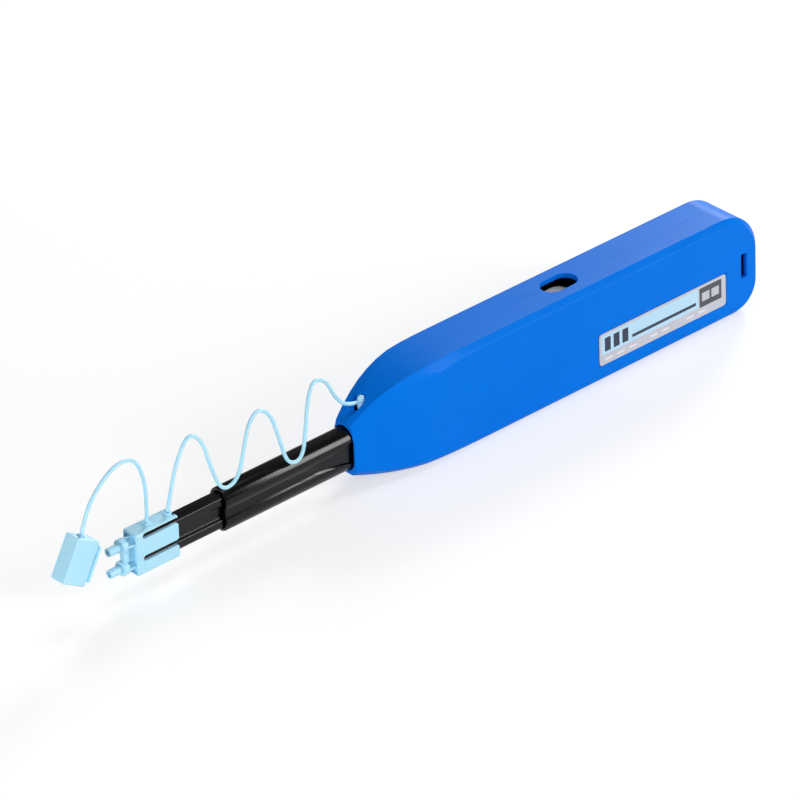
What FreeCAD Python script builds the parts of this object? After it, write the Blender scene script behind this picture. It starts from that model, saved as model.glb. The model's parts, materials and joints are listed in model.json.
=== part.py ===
import FreeCAD, Part

import math
import os
import re

# Push-to-clean tool for duplex fibre connectors.
# Frame: +X from the cleaning tips to the rear of the housing, +Z up, the label side faces -Y.
# Origin: on the housing's flat underside, midway across it, under the middle of its length to 1.5 mm.

SIZES = {
    # Housing, two moulded half shells that meet on the plane y = 0
    "front_reach": 67.6,
    "rear_reach": 70.35,
    "housing_width": 16.5,
    "housing_height": 29.2,
    "wall": 1.5,
    "bevel": 1.5,
    "rear_top_radius": 12.0,
    "rear_bottom_radius": 8.7,
    "nose_length": 36.9,
    "nose_top_drop": 10.2,
    "nose_top_power": 3.45,
    "nose_bottom_length": 45.0,
    "nose_bottom_rise": 4.8,
    "nose_bottom_power": 2.9,
    "nose_side_length": 22.2,
    "nose_side_drop": 4.05,
    "nose_side_power": 1.35,
    "nose_bevel_growth": 3.95,
    "outer_stations": 13,
    "inner_stations": 7,
    "station_power": 1.4,
    "window_length": 11.0,
    "window_width": 6.6,
    "slot_length": 2.0,
    "slot_height": 7.2,
    "slot_from_rear": 5.65,
    "slot_place_height": 13.8,
    "hook_sink": 0.6,
    "label_length": 45.2,
    "label_height": 9.2,
    "label_depth": 0.25,
    "label_place": 35.4,
    "label_place_height": 9.6,
    "anchor_hole": 1.8,
    "anchor_from_front": 6.3,
    "anchor_sink": 0.55,
    "trough_radius": 1.7,
    "trough_length": 8.0,
    "trough_slope": 15.0,
    # Clearances
    "fit_gap": 0.05,
    "slide_gap": 0.25,
    "rest_gap": 0.3,
    "travel": 12.0,
    # Duplex connector geometry
    "ferrule_pitch": 6.25,
    "ferrule_bore": 1.3,
    "ferrule_depth": 4.4,
    "axis_height": 11.8,
    "sleeve_reach": 41.55,
    # Adapter
    "adapter_length": 13.4,
    "adapter_width": 5.4,
    "adapter_height": 11.9,
    "adapter_corner": 0.8,
    "adapter_edge": 0.3,
    "pocket_depth": 0.8,
    "pocket_rim": 0.55,
    "adapter_web": 0.9,
    "tube_reach": 7.1,
    "tube_diameter": 2.3,
    "tube_neck_bore": 0.9,
    "collar_diameter": 4.0,
    "collar_length": 1.4,
    "collar_from_front": 2.0,
    "rib_thickness": 0.5,
    "joining_plate": 1.6,
    "adapter_slot": 1.5,
    "adapter_slot_rise": 1.7,
    "adapter_slot_start": 2.0,
    "foot_size": 1.5,
    "foot_height": 0.5,
    "tether_foot_place": 12.4,
    "cap_foot_place": 5.7,
    # Nozzle
    "adapter_to_sleeve": 15.2,
    "lobe_width": 3.8,
    "lobe_height": 3.9,
    "lobe_chamfer": 1.0,
    "web_width": 2.4,
    "shaft_bore": 2.2,
    "flange_length": 1.2,
    # Sleeve
    "sleeve_radius": 3.3,
    "sleeve_lobe_offset": 2.8,
    "sleeve_overlap": 9.0,
    "sleeve_edge": 0.4,
    "groove_depth": 0.5,
    "waist_step": 0.01,
    "scoop_depth": 0.8,
    "scoop_length": 7.5,
    "scoop_height": 6.4,
    # Carriage
    "carriage_front": -30.0,
    "carriage_length": 50.0,
    "carriage_wall": 1.2,
    "cover_thickness": 1.0,
    "neck_length": 30.0,
    "neck_wall": 0.8,
    "boss_length": 6.0,
    "carriage_bevel": 0.8,
    "window_frame": 1.0,
    # Reels and gears
    "gear_module": 0.8,
    "gear_addendum": 0.45,
    "gear_dedendum": 0.6,
    "gear_backlash": 0.12,
    "gear_width": 2.0,
    "pressure_angle": 20.0,
    "pinion_teeth": 10,
    "take_up_teeth": 18,
    "rack_teeth": 9,
    "rack_lead": 2,
    "pinion_place": -22.0,
    "pinion_height": 8.4,
    "take_up_height": 14.6,
    "reel_share": 0.2,
    "reel_room": 2.2,
    "reel_clearance": 0.7,
    "full_tape_inset": 0.3,
    "take_up_fill": 0.6,
    "hub_radius": 3.2,
    "flange_thickness": 0.6,
    "axle_radius": 1.5,
    "pinion_axle_radius": 1.0,
    # Cleaning shafts
    "shaft_diameter": 1.6,
    "shaft_setback": 0.5,
    "tip_diameter": 0.7,
    "blade_width": 2.4,
    "blade_thickness": 0.9,
    "blade_turn": 180.0,
    "blade_steps": 12,
    "cam_thickness": 0.8,
    "cam_height": 10.0,
    "cam_clearance": 0.22,
    "seat_groove": 0.6,
    # Return spring
    "spring_radius": 3.6,
    "spring_wire": 0.7,
    "spring_turns": 9,
    "spring_steps": 8,
    "spring_height": 14.6,
    "guide_radius": 2.4,
    "guide_length": 22.0,
    "seat_thickness": 1.5,
    "seat_height": 12.0,
    "seat_to_hook": 1.0,
    # Cap and tethers
    "cap_length": 7.6,
    "cap_width": 5.0,
    "cap_height": 11.9,
    "cap_wall": 0.8,
    "cap_neck_length": 0.5,
    "cap_neck_inset": 0.5,
    "cap_lip_length": 0.5,
    "cap_lip_inset": 1.2,
    "cap_tilt": 29.0,
    "cap_place": -157.65,
    "cap_side": 3.5,
    "cap_rise": 20.25,
    "cap_foot_shift": 0.9,
    "tether_diameter": 1.0,
    "bend_share": 0.45,
    "bend_step": 18.0,
    "anchor_diameter": 2.2,
}

doc = FreeCAD.newDocument("ConnectorCleaner")
sheet = doc.addObject("Spreadsheet::Sheet", "Sizes")
for row, (alias, value) in enumerate(SIZES.items(), start=1):
    sheet.set(f"A{row}", alias)
    sheet.set(f"B{row}", str(value))
    sheet.setAlias(f"B{row}", alias)
doc.recompute()


class SizeReader:
    """Gives a sheet cell's value by its alias, for shapes that code makes."""

    def __getattr__(self, alias):
        return float(sheet.get(alias))


size = SizeReader()
ALIASES = re.compile(r"\b(" + "|".join(SIZES) + r")\b")


def bind(part, prop, expression):
    """Ties a property to an expression written with the sheet's aliases."""
    part.setExpression(prop, ALIASES.sub(r"Sizes.\1", str(expression)))


def place(part, x=0, y=0, z=0):
    for axis, expression in zip("xyz", (x, y, z)):
        bind(part, f"Placement.Base.{axis}", expression)
    return part


# Places along X that several pieces share
FRONT = "(-front_reach)"
REAR = "rear_reach"
SLEEVE_FRONT = f"({FRONT} - sleeve_reach)"
ADAPTER_REAR = f"({SLEEVE_FRONT} - adapter_to_sleeve)"
ADAPTER_FRONT = f"({ADAPTER_REAR} - adapter_length)"
POCKET_FLOOR = f"({ADAPTER_FRONT} + pocket_depth)"
NOZZLE_FRONT = f"({POCKET_FLOOR} + adapter_web)"
NECK_FRONT = "(carriage_front - neck_length)"
SLEEVE_REAR = f"({NECK_FRONT} + sleeve_overlap)"
CARRIAGE_REAR = "(carriage_front + carriage_length)"
CARRIAGE_HALF_WIDTH = "(housing_width / 2 - wall - slide_gap)"
CARRIAGE_BOTTOM = "(wall + slide_gap)"
CARRIAGE_HEIGHT = "(housing_height - 2 * wall - 2 * slide_gap)"
COVER_Y = f"(cover_thickness - {CARRIAGE_HALF_WIDTH})"
SPOOL_Y = f"({COVER_Y} + rest_gap)"
SPOOL_WIDTH = (f"(2 * {CARRIAGE_HALF_WIDTH} - cover_thickness - carriage_wall - gear_width"
               " - flange_thickness - 3 * rest_gap)")
GEAR_Y = f"({SPOOL_Y} + flange_thickness + {SPOOL_WIDTH} + rest_gap)"
ANCHOR_X = f"({FRONT} + anchor_from_front)"
ANCHOR_Z = ("(housing_height - anchor_sink"
            " - nose_top_drop * ((nose_length - anchor_from_front) / nose_length)^nose_top_power)")
CAM_FRONT = "(carriage_front - rest_gap - cam_thickness)"
SLOT_X = f"({REAR} - slot_from_rear - slot_length / 2)"
SEAT_FRONT = f"({SLOT_X} - seat_to_hook - seat_thickness)"
SHAFT_FRONT = f"({NOZZLE_FRONT} + shaft_setback)"
PINION_RADIUS = "(gear_module * pinion_teeth / 2)"
RACK_LINE = f"(pinion_height - {PINION_RADIUS})"
TAKE_UP_X = ("(pinion_place + sqrt((gear_module * (pinion_teeth + take_up_teeth) / 2)^2"
             " - (take_up_height - pinion_height)^2))")
SUPPLY_RADIUS = "(reel_share * carriage_length)"
SUPPLY_X = f"({CARRIAGE_REAR} - carriage_wall - reel_room - {SUPPLY_RADIUS})"
SUPPLY_Z = f"({CARRIAGE_BOTTOM} + {CARRIAGE_HEIGHT} - carriage_wall - rest_gap - {SUPPLY_RADIUS})"
TAKE_UP_REEL_RADIUS = f"({SUPPLY_X} - {TAKE_UP_X} - {SUPPLY_RADIUS} - reel_clearance)"
AXES = ("(axis_height + ferrule_pitch / 2)", "(axis_height - ferrule_pitch / 2)")


# ---------------------------------------------------------------- document helpers

def box(name, length, width, height, x, y, z):
    """Block from x, y, z; y may be 'mid' to centre the block on y = 0."""
    part = doc.addObject("Part::Box", name)
    for prop, expression in (("Length", length), ("Width", width), ("Height", height)):
        bind(part, prop, expression)
    return place(part, x, f"-({width}) / 2" if y == "mid" else y, z)


def block(name, length, width, height, x, z):
    """Block centred on y = 0 and on the height z."""
    return box(name, length, width, height, x, "mid", f"{z} - ({height}) / 2")


TURN = {
    "x": FreeCAD.Rotation(FreeCAD.Vector(0, 1, 0), 90),
    "y": FreeCAD.Rotation(FreeCAD.Vector(1, 0, 0), -90),
    "z": FreeCAD.Rotation(),
}


def rod(name, axis, radius, length, x, y, z):
    """Cylinder that starts at x, y, z and runs along +axis."""
    part = doc.addObject("Part::Cylinder", name)
    bind(part, "Radius", radius)
    bind(part, "Height", length)
    part.Placement.Rotation = TURN[axis]
    return place(part, x, y, z)


def fuse(name, *shapes):
    part = doc.addObject("Part::MultiFuse", name)
    part.Shapes = list(shapes)
    part.Refine = True
    return part


def cut(name, base, *tools):
    part = doc.addObject("Part::Cut", name)
    part.Base = base
    part.Tool = tools[0] if len(tools) == 1 else fuse(name + "_tools", *tools)
    part.Refine = True
    return part


def common(name, base, tool):
    part = doc.addObject("Part::Common", name)
    part.Base = base
    part.Tool = tool
    part.Refine = True
    return part


def shaped(name, shape, x=0, y=0, z=0):
    """Feature for a form that code makes, placed by expressions."""
    part = doc.addObject("Part::Feature", name)
    part.Shape = shape
    return place(part, x, y, z)


NODES = []


def node(part, label):
    """Marks a finished sub-part; its label names its file."""
    part.Label = label
    NODES.append(part)
    return part


def polygon(points):
    """Closed wire through points."""
    return Part.makePolygon([*points, points[0]])


# ---------------------------------------------------------------- housing

def inner_bevel(inset):
    """Bevel of the housing's outline drawn in by inset; the walls keep their thickness across it."""
    return size.bevel - inset * (2 - math.sqrt(2))


def housing_section(x, inset):
    """Eight-cornered section of the housing at x, drawn in by inset on every side."""
    def run(length, power):
        return max(0.0, min(1.0, (length - size.front_reach - x) / length)) ** power

    top = size.housing_height - size.nose_top_drop * run(size.nose_length, size.nose_top_power) - inset
    bottom = size.nose_bottom_rise * run(size.nose_bottom_length, size.nose_bottom_power) + inset
    taper = size.nose_side_drop * run(size.nose_side_length, size.nose_side_power)
    half = size.housing_width / 2 - taper - inset
    corner = inner_bevel(inset)
    drop = corner + size.nose_bevel_growth * run(size.nose_length, 1)
    return [FreeCAD.Vector(x, y, z) for y, z in (
        (-half, bottom + corner), (-half, top - drop), (corner - half, top), (half - corner, top),
        (half, top - drop), (half, bottom + corner), (half - corner, bottom), (corner - half, bottom),
    )]


def housing_form(inset, stations):
    """Whole housing outline, drawn in by inset: a lofted nose on a bevelled, round-cornered bar."""
    front = inset - size.front_reach
    shoulder = max(size.nose_length, size.nose_bottom_length, size.nose_side_length) - size.front_reach
    start = shoulder + size.rear_bottom_radius
    places = [front + (shoulder - front) * (step / (stations - 1)) ** size.station_power
              for step in range(int(stations))]
    nose = Part.makeLoft([polygon(housing_section(x, inset)) for x in [*places, start]], True, True)

    rear = size.rear_reach - inset
    half = size.housing_width / 2 - inset
    low, high = inset, size.housing_height - inset
    under, over = size.rear_bottom_radius - inset, size.rear_top_radius - inset
    slant = 1 - math.sqrt(0.5)
    corners = [(start, low), (rear - under, low), (rear - under * slant, low + under * slant),
               (rear, low + under), (rear, high - over), (rear - over * slant, high - over * slant),
               (rear - over, high), (start, high)]
    p = [FreeCAD.Vector(x, -half, z) for x, z in corners]
    if inset:
        outline = polygon([p[0], p[1], p[3], p[4], p[6], p[7]])
    else:
        outline = Part.Wire([
            Part.makeLine(p[0], p[1]), Part.Arc(p[1], p[2], p[3]).toShape(), Part.makeLine(p[3], p[4]),
            Part.Arc(p[4], p[5], p[6]).toShape(), Part.makeLine(p[6], p[7]), Part.makeLine(p[7], p[0]),
        ])
    bar = Part.Face(outline).extrude(FreeCAD.Vector(0, 2 * half, 0))
    bevelled = [
        edge for edge in bar.Edges
        if abs(edge.BoundBox.YLength) < 1e-6 and edge.BoundBox.XMax > start + 1e-6
    ]
    bar = bar.makeChamfer(inner_bevel(inset), bevelled)
    return nose.fuse(bar).removeSplitter()


def two_lobes(radius, offset, length, inset):
    """Bar along +X: round lobes above and below its axis, and a waist with its flat sides inset."""
    waist = radius - inset
    angle = math.acos(waist / radius)
    reach = radius * math.sin(angle)
    points = {
        "top": FreeCAD.Vector(0, 0, offset + radius), "bottom": FreeCAD.Vector(0, 0, -offset - radius),
        "ur": FreeCAD.Vector(0, waist, offset - reach), "ul": FreeCAD.Vector(0, -waist, offset - reach),
        "lr": FreeCAD.Vector(0, waist, reach - offset), "ll": FreeCAD.Vector(0, -waist, reach - offset),
    }
    outline = Part.Wire([
        Part.Arc(points["ul"], points["top"], points["ur"]).toShape(),
        Part.makeLine(points["ur"], points["lr"]),
        Part.Arc(points["lr"], points["bottom"], points["ll"]).toShape(),
        Part.makeLine(points["ll"], points["ul"]),
    ])
    return Part.Face(outline).extrude(FreeCAD.Vector(length, 0, 0))


def stadium(name, length, width, height, x, z):
    """Upright plug with round ends along X, centred on y = 0."""
    middle = box(name + "_middle", f"{length} - {width}", width, height,
                 f"{x} - ({length} - {width}) / 2", "mid", z)
    ends = [rod(f"{name}_end_{side}", "z", f"{width} / 2", height,
                f"{x} {sign} ({length} - {width}) / 2", "0", z)
            for side, sign in (("front", "-"), ("rear", "+"))]
    return fuse(name, middle, *ends)


def make_housing():
    outer = shaped("housing_outer", housing_form(0, size.outer_stations))
    inner = shaped("housing_inner", housing_form(size.wall, size.inner_stations))
    gap = size.slide_gap
    mouth_length = 4 * size.wall
    mouth = shaped("mouth", two_lobes(size.sleeve_radius + gap, size.sleeve_lobe_offset,
                                      mouth_length, size.waist_step),
                   f"{FRONT} - wall", 0, "axis_height")
    window = stadium("window", "window_length", "window_width", "3 * wall", SUPPLY_X,
                     "housing_height - 2 * wall")
    hole = rod("anchor_bore", "z", "anchor_hole / 2", "6 * wall", ANCHOR_X, "0",
               f"{ANCHOR_Z} - 3 * wall")
    seat = rod("anchor_seat", "z", "anchor_diameter / 2 + fit_gap", "6 * wall", ANCHOR_X, "0",
               f"{ANCHOR_Z} - anchor_diameter / 2 - fit_gap")
    trough = rod("anchor_trough", "x", "trough_radius", "trough_length", ANCHOR_X, "0", ANCHOR_Z)
    trough.Placement.Rotation = FreeCAD.Rotation(FreeCAD.Vector(0, 1, 0), -90 - size.trough_slope)
    grooves = [block(f"{name}_groove", f"{thickness} + 2 * fit_gap",
                     "housing_width - 2 * wall + 2 * seat_groove", f"{height} + 2 * fit_gap",
                     f"{x} - fit_gap", z)
               for name, thickness, height, x, z in (
                   ("cam", "cam_thickness", "cam_height", CAM_FRONT, "axis_height"),
                   ("seat", "seat_thickness", "seat_height", SEAT_FRONT, "spring_height"))]
    shell = cut("shell", outer, inner, mouth, window, hole, seat, trough, *grooves)

    whole = "2 * (front_reach + rear_reach)"
    far_side = box("far_side", whole, "housing_width", "2 * housing_height",
                   "-front_reach - rear_reach", "0", "-housing_height / 2")
    near_side = box("near_side", whole, "housing_width", "2 * housing_height",
                    "-front_reach - rear_reach", "-housing_width", "-housing_height / 2")

    slot = box("hook_slot", "slot_length", "2 * wall", "slot_height", SLOT_X,
               "-housing_width / 2 - wall / 2", "slot_place_height - slot_height / 2")
    recess = box("label_recess", "label_length + 2 * slide_gap", "label_depth",
                 "label_height + 2 * slide_gap", "label_place - label_length / 2 - slide_gap",
                 "-housing_width / 2", "label_place_height - label_height / 2 - slide_gap")
    near = common("near_shell", shell, near_side)
    node(cut("housing_right_cut", near, slot, recess), "housing_right")

    far = common("far_shell", shell, far_side)
    arm = box("hook_arm", "slot_length - 2 * slide_gap", "housing_width - wall - hook_sink",
              "slot_height - 4 * slide_gap", f"{SLOT_X} + slide_gap", "hook_sink - housing_width / 2",
              "slot_place_height - slot_height / 2 + 2 * slide_gap")
    node(fuse("housing_left_fuse", far, arm), "housing_left")

    plate = box("label_plate", "label_length", "label_depth - fit_gap", "label_height",
                "label_place - label_length / 2", "fit_gap - housing_width / 2",
                "label_place_height - label_height / 2")
    node(plate, "label")


make_housing()

# ---------------------------------------------------------------- sleeve and nozzle

def edges_along_x(part):
    """Numbers of a shape's straight edges that run along X."""
    return [number for number, edge in enumerate(part.Shape.Edges, start=1)
            if edge.BoundBox.YLength < 1e-6 and edge.BoundBox.ZLength < 1e-6]


def bevelled(name, base, amount, side=None):
    """Chamfers a block's edges that run along X: all four, or the two on its +Y or -Y side."""
    doc.recompute()
    middle = base.Shape.BoundBox.Center.y
    part = doc.addObject("Part::Chamfer", name)
    part.Base = base
    part.Edges = [(number, amount, amount) for number in edges_along_x(base)
                  if side is None or side * (base.Shape.Edges[number - 1].BoundBox.YMin - middle) > 0]
    return part


def across(edge):
    """True for an edge that lies square to X."""
    return edge.BoundBox.XLength < 1e-6


def trimmed(kind, name, base, amount, choose):
    """Part::Fillet or Part::Chamfer on the edges for which choose(edge) is true."""
    doc.recompute()
    part = doc.addObject(kind, name)
    part.Base = base
    part.Edges = [(number, amount, amount) for number, edge in enumerate(base.Shape.Edges, start=1)
                  if choose(edge)]
    return part


def make_sleeve():
    front = -size.front_reach - size.sleeve_reach
    length = size.carriage_front - size.neck_length + size.sleeve_overlap - front
    radius = size.sleeve_radius
    outer = shaped("sleeve_outer", two_lobes(radius, size.sleeve_lobe_offset, length, size.groove_depth),
                   SLEEVE_FRONT, 0, "axis_height")
    soft = trimmed("Part::Chamfer", "sleeve_rim", outer, size.sleeve_edge,
                   lambda edge: edge.BoundBox.XMax < front + 1e-3)
    hollow = block("sleeve_bore", "2 * sleeve_reach", "lobe_width + 2 * slide_gap",
                   "ferrule_pitch + lobe_height + 2 * slide_gap", SLEEVE_FRONT, "axis_height")
    hollow = bevelled("sleeve_hollow", hollow, size.lobe_chamfer)
    scoops = [rod(f"scoop_{side}", "y", "scoop_height / 2", "wall", f"{FRONT} - scoop_length / 2", y,
                  "axis_height")
              for side, y in (("near", "scoop_depth - sleeve_radius - wall"),
                              ("far", "sleeve_radius - scoop_depth"))]
    node(cut("sleeve_cut", soft, hollow, *scoops), "sleeve")


def make_nozzle():
    length = f"{SLEEVE_REAR} - {NOZZLE_FRONT}"
    lobes = [bevelled(f"lobe_{number}", block(f"lobe_block_{number}", length, "lobe_width", "lobe_height",
                                              NOZZLE_FRONT, z), size.lobe_chamfer)
             for number, z in enumerate(AXES)]
    web = block("nozzle_web", length, "web_width", "ferrule_pitch", NOZZLE_FRONT, "axis_height")
    flange = block("flange_block", "flange_length", "2 * sleeve_radius - 2 * fit_gap",
                   "2 * sleeve_lobe_offset + sleeve_radius", SLEEVE_REAR, "axis_height")
    flange = bevelled("nozzle_flange", flange, size.lobe_chamfer)
    bores = [block(f"shaft_bore_{number}", f"{length} + 2 * flange_length", "shaft_bore", "shaft_bore",
                   f"{NOZZLE_FRONT} - flange_length / 2", z) for number, z in enumerate(AXES)]
    node(cut("nozzle_cut", fuse("nozzle_body", *lobes, web, flange), *bores), "nozzle")


make_sleeve()
make_nozzle()

# ---------------------------------------------------------------- adapter and cap

def make_adapter():
    body = block("adapter_block", "adapter_length", "adapter_width", "adapter_height", ADAPTER_FRONT,
                 "axis_height")
    body = trimmed("Part::Fillet", "adapter_corners", body, size.adapter_corner,
                   lambda edge: not across(edge))
    body = trimmed("Part::Chamfer", "adapter_rim", body, size.adapter_edge,
                   lambda edge: edge.BoundBox.XMax < body.Shape.BoundBox.XMin + 1e-3)
    pocket = block("adapter_pocket", "pocket_depth", "adapter_width - 2 * pocket_rim",
                   "adapter_height - 2 * pocket_rim", ADAPTER_FRONT, "axis_height")
    cavity = block("adapter_cavity", "adapter_length", "lobe_width + 2 * fit_gap",
                   "ferrule_pitch + lobe_height + 2 * fit_gap", NOZZLE_FRONT, "axis_height")
    slots = []
    for number, z in enumerate(AXES):
        height = f"{z} + adapter_slot_rise"
        start = f"{ADAPTER_FRONT} + adapter_slot_start + adapter_slot / 2"
        slots.append(block(f"adapter_slot_{number}", "adapter_length", "2 * adapter_width", "adapter_slot",
                           start, f"({height})"))
        slots.append(rod(f"adapter_slot_end_{number}", "y", "adapter_slot / 2", "2 * adapter_width",
                         start, "-adapter_width", height))
    shell = cut("adapter_shell", body, pocket, cavity, *slots)

    collar_front = f"{ADAPTER_FRONT} - collar_from_front - collar_length"
    behind = "collar_from_front + pocket_depth"
    added, bores = [], []
    for number, z in enumerate(AXES):
        added.append(rod(f"tube_{number}", "x", "tube_diameter / 2", "tube_reach + pocket_depth",
                         f"{ADAPTER_FRONT} - tube_reach", "0", z))
        added.append(rod(f"collar_{number}", "x", "collar_diameter / 2", "collar_length", collar_front,
                         "0", z))
        start = f"{ADAPTER_FRONT} - collar_from_front"
        added.append(block(f"rib_flat_{number}", behind, "collar_diameter", "rib_thickness", start, z))
        added.append(block(f"rib_tall_{number}", behind, "rib_thickness", "collar_diameter", start, z))
        bores.append(rod(f"ferrule_seat_{number}", "x", "ferrule_bore / 2", "ferrule_depth",
                         f"{ADAPTER_FRONT} - tube_reach", "0", z))
        bores.append(rod(f"tube_neck_{number}", "x", "tube_neck_bore / 2",
                         "tube_reach + pocket_depth + adapter_web", f"{ADAPTER_FRONT} - tube_reach",
                         "0", z))
    added.append(block("joining_plate_block", f"{behind} + collar_length / 2", "joining_plate",
                       "ferrule_pitch - tube_diameter", f"{collar_front} + collar_length / 2",
                       "axis_height"))
    for label, x in (("tether", "tether_foot_place"), ("cap", "cap_foot_place")):
        added.append(box(f"{label}_foot", "foot_size", "foot_size", "foot_height",
                         f"{ADAPTER_FRONT} + {x} - foot_size / 2", "mid",
                         "axis_height + adapter_height / 2"))
    node(cut("adapter_cut", fuse("adapter_body", shell, *added), *bores), "adapter")


def make_cap():
    """Box cap with its open end towards +X in its own frame, tilted where it hangs."""
    body = block("cap_block", "cap_length", "cap_width", "cap_height", "-cap_length / 2", "0")
    body = trimmed("Part::Chamfer", "cap_bevels", body, size.adapter_edge, lambda edge: True)
    neck = block("cap_neck", "cap_neck_length + cap_wall", "cap_width - 2 * cap_neck_inset",
                 "cap_height - 2 * cap_lip_inset - cap_neck_inset", "cap_length / 2 - cap_wall", "0")
    lip = block("cap_lip", "cap_lip_length", "cap_width", "cap_height - 2 * cap_lip_inset",
                "cap_length / 2 + cap_neck_length", "0")
    foot = box("cap_top_foot", "foot_size", "foot_size", "foot_height",
               "-cap_foot_shift - foot_size / 2", "mid", "cap_height / 2")
    hollow = block("cap_hollow", "cap_length + cap_neck_length + cap_lip_length",
                   "cap_width - 2 * cap_wall - cap_neck_inset / 2",
                   "cap_height - 2 * cap_wall - 2 * cap_lip_inset + cap_wall",
                   "cap_wall - cap_length / 2", "0")
    cap = cut("cap_cut", fuse("cap_body", body, neck, lip, foot), hollow)
    cap.Placement.Rotation = FreeCAD.Rotation(FreeCAD.Vector(0, 1, 0), size.cap_tilt)
    node(place(cap, "cap_place", "-cap_side", "cap_rise"), "cap")


make_adapter()
make_cap()

# ---------------------------------------------------------------- carriage

def make_carriage():
    half, height = CARRIAGE_HALF_WIDTH, CARRIAGE_HEIGHT
    depth = f"(2 * {half} - cover_thickness)"
    shell = box("carriage_block", "carriage_length", depth, height, "carriage_front", COVER_Y,
                CARRIAGE_BOTTOM)
    shell = bevelled("carriage_bevels", shell, size.carriage_bevel, side=1)
    room = box("carriage_room", "carriage_length - 2 * carriage_wall", f"{depth} - carriage_wall",
               f"{height} - 2 * carriage_wall", "carriage_front + carriage_wall", COVER_Y,
               f"{CARRIAGE_BOTTOM} + carriage_wall")
    neck_radius = size.sleeve_radius + size.neck_wall
    neck = shaped("neck", two_lobes(neck_radius, size.sleeve_lobe_offset, size.neck_length,
                                    size.waist_step), NECK_FRONT, 0, "axis_height")
    boss = rod("carriage_boss", "x", "guide_radius", "boss_length", CARRIAGE_REAR, "0", "spring_height")
    socket_radius = size.sleeve_radius + size.fit_gap
    socket = shaped("sleeve_socket", two_lobes(socket_radius, size.sleeve_lobe_offset, size.neck_length,
                                               size.waist_step), NECK_FRONT, 0, "axis_height")
    cam_way = block("cam_way", "travel + cam_thickness + 2 * rest_gap", "housing_width",
                    "cam_height + 2 * rest_gap", f"{CAM_FRONT} - travel - rest_gap", "axis_height")
    rack_y = f"{GEAR_Y} - rest_gap"
    rack_way = box("rack_way", "carriage_length / 2", "gear_width + 2 * rest_gap",
                   f"{RACK_LINE} + gear_addendum + rest_gap - {CARRIAGE_BOTTOM}", "carriage_front",
                   rack_y, CARRIAGE_BOTTOM)
    journals = [rod(f"journal_hole_{number}", "x", "shaft_diameter / 2 + fit_gap", "2 * carriage_wall",
                    "carriage_front - carriage_wall / 2", "0", z) for number, z in enumerate(AXES)]
    opening = stadium("carriage_window", "window_length", "window_width - window_frame",
                      "3 * carriage_wall", SUPPLY_X,
                      f"{CARRIAGE_BOTTOM} + {height} - 2 * carriage_wall")
    posts = [rod(f"{name}_post", "y", radius, f"2 * {half} - cover_thickness - carriage_wall / 2", x,
                 f"{COVER_Y} + fit_gap", z) for name, radius, x, z in POSTS]
    body = fuse("carriage_body", cut("carriage_tray", shell, room), neck, boss)
    body = cut("carriage_ways", body, socket, cam_way, rack_way, opening, *journals)
    node(fuse("carriage_fuse", body, *posts), "carriage")

    cover = box("cover_plate", "carriage_length", "cover_thickness", height, "carriage_front",
                f"-{half}", CARRIAGE_BOTTOM)
    node(bevelled("cover_bevels", cover, size.carriage_bevel, side=-1), "carriage_cover")


POSTS = (
    ("supply", "axle_radius", SUPPLY_X, SUPPLY_Z),
    ("take_up", "axle_radius", TAKE_UP_X, "take_up_height"),
    ("pinion", "pinion_axle_radius", "pinion_place", "pinion_height"),
)
make_carriage()

# ---------------------------------------------------------------- reels and gears

def make_reel(name, flange_radius, tape_radius, x, z, *added):
    """Full reel: the tape's coil between the cover and a flange, on a hub that runs past the flange."""
    flange = rod(f"{name}_flange", "y", flange_radius, "flange_thickness", x,
                 f"{SPOOL_Y} + {SPOOL_WIDTH}", z)
    coil = rod(f"{name}_coil", "y", tape_radius, SPOOL_WIDTH, x, SPOOL_Y, z)
    hub = rod(f"{name}_hub", "y", "hub_radius",
              f"{CARRIAGE_HALF_WIDTH} - carriage_wall - rest_gap - {SPOOL_Y}", x, SPOOL_Y, z)
    bore = rod(f"{name}_bore", "y", "axle_radius + fit_gap", "housing_width", x, "-housing_width / 2", z)
    node(cut(f"{name}_reel_cut", fuse(f"{name}_spool", hub, coil, flange, *added), bore), f"{name}_reel")


def involute_point(base_radius, radius):
    """Angle swept by an involute from its base circle out to radius."""
    if radius <= base_radius:
        return 0.0
    roll = math.sqrt((radius / base_radius) ** 2 - 1)
    return roll - math.atan(roll)


def gear_blank(teeth, turn):
    """Spur gear about Y, a tooth centred at the angle turn from +X towards +Z."""
    pitch_radius = size.gear_module * teeth / 2
    base_radius = pitch_radius * math.cos(math.radians(size.pressure_angle))
    root, tip = pitch_radius - size.gear_dedendum, pitch_radius + size.gear_addendum
    half_tooth = (math.pi * size.gear_module - size.gear_backlash) / (4 * pitch_radius)
    flank = [max(root, base_radius) + (tip - max(root, base_radius)) * step / 2 for step in range(3)]
    points = []
    for tooth in range(int(teeth)):
        middle = turn + 2 * math.pi * tooth / teeth
        lean = [half_tooth + involute_point(base_radius, pitch_radius) - involute_point(base_radius, r)
                for r in flank]
        rising = [(root, middle - lean[0])] + [(r, middle - a) for r, a in zip(flank, lean)]
        falling = [(r, 2 * middle - angle) for r, angle in reversed(rising)]
        points += [FreeCAD.Vector(r * math.cos(angle), 0, r * math.sin(angle))
                   for r, angle in rising + falling]
    return Part.Face(polygon(points)).extrude(FreeCAD.Vector(0, size.gear_width, 0))


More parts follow.
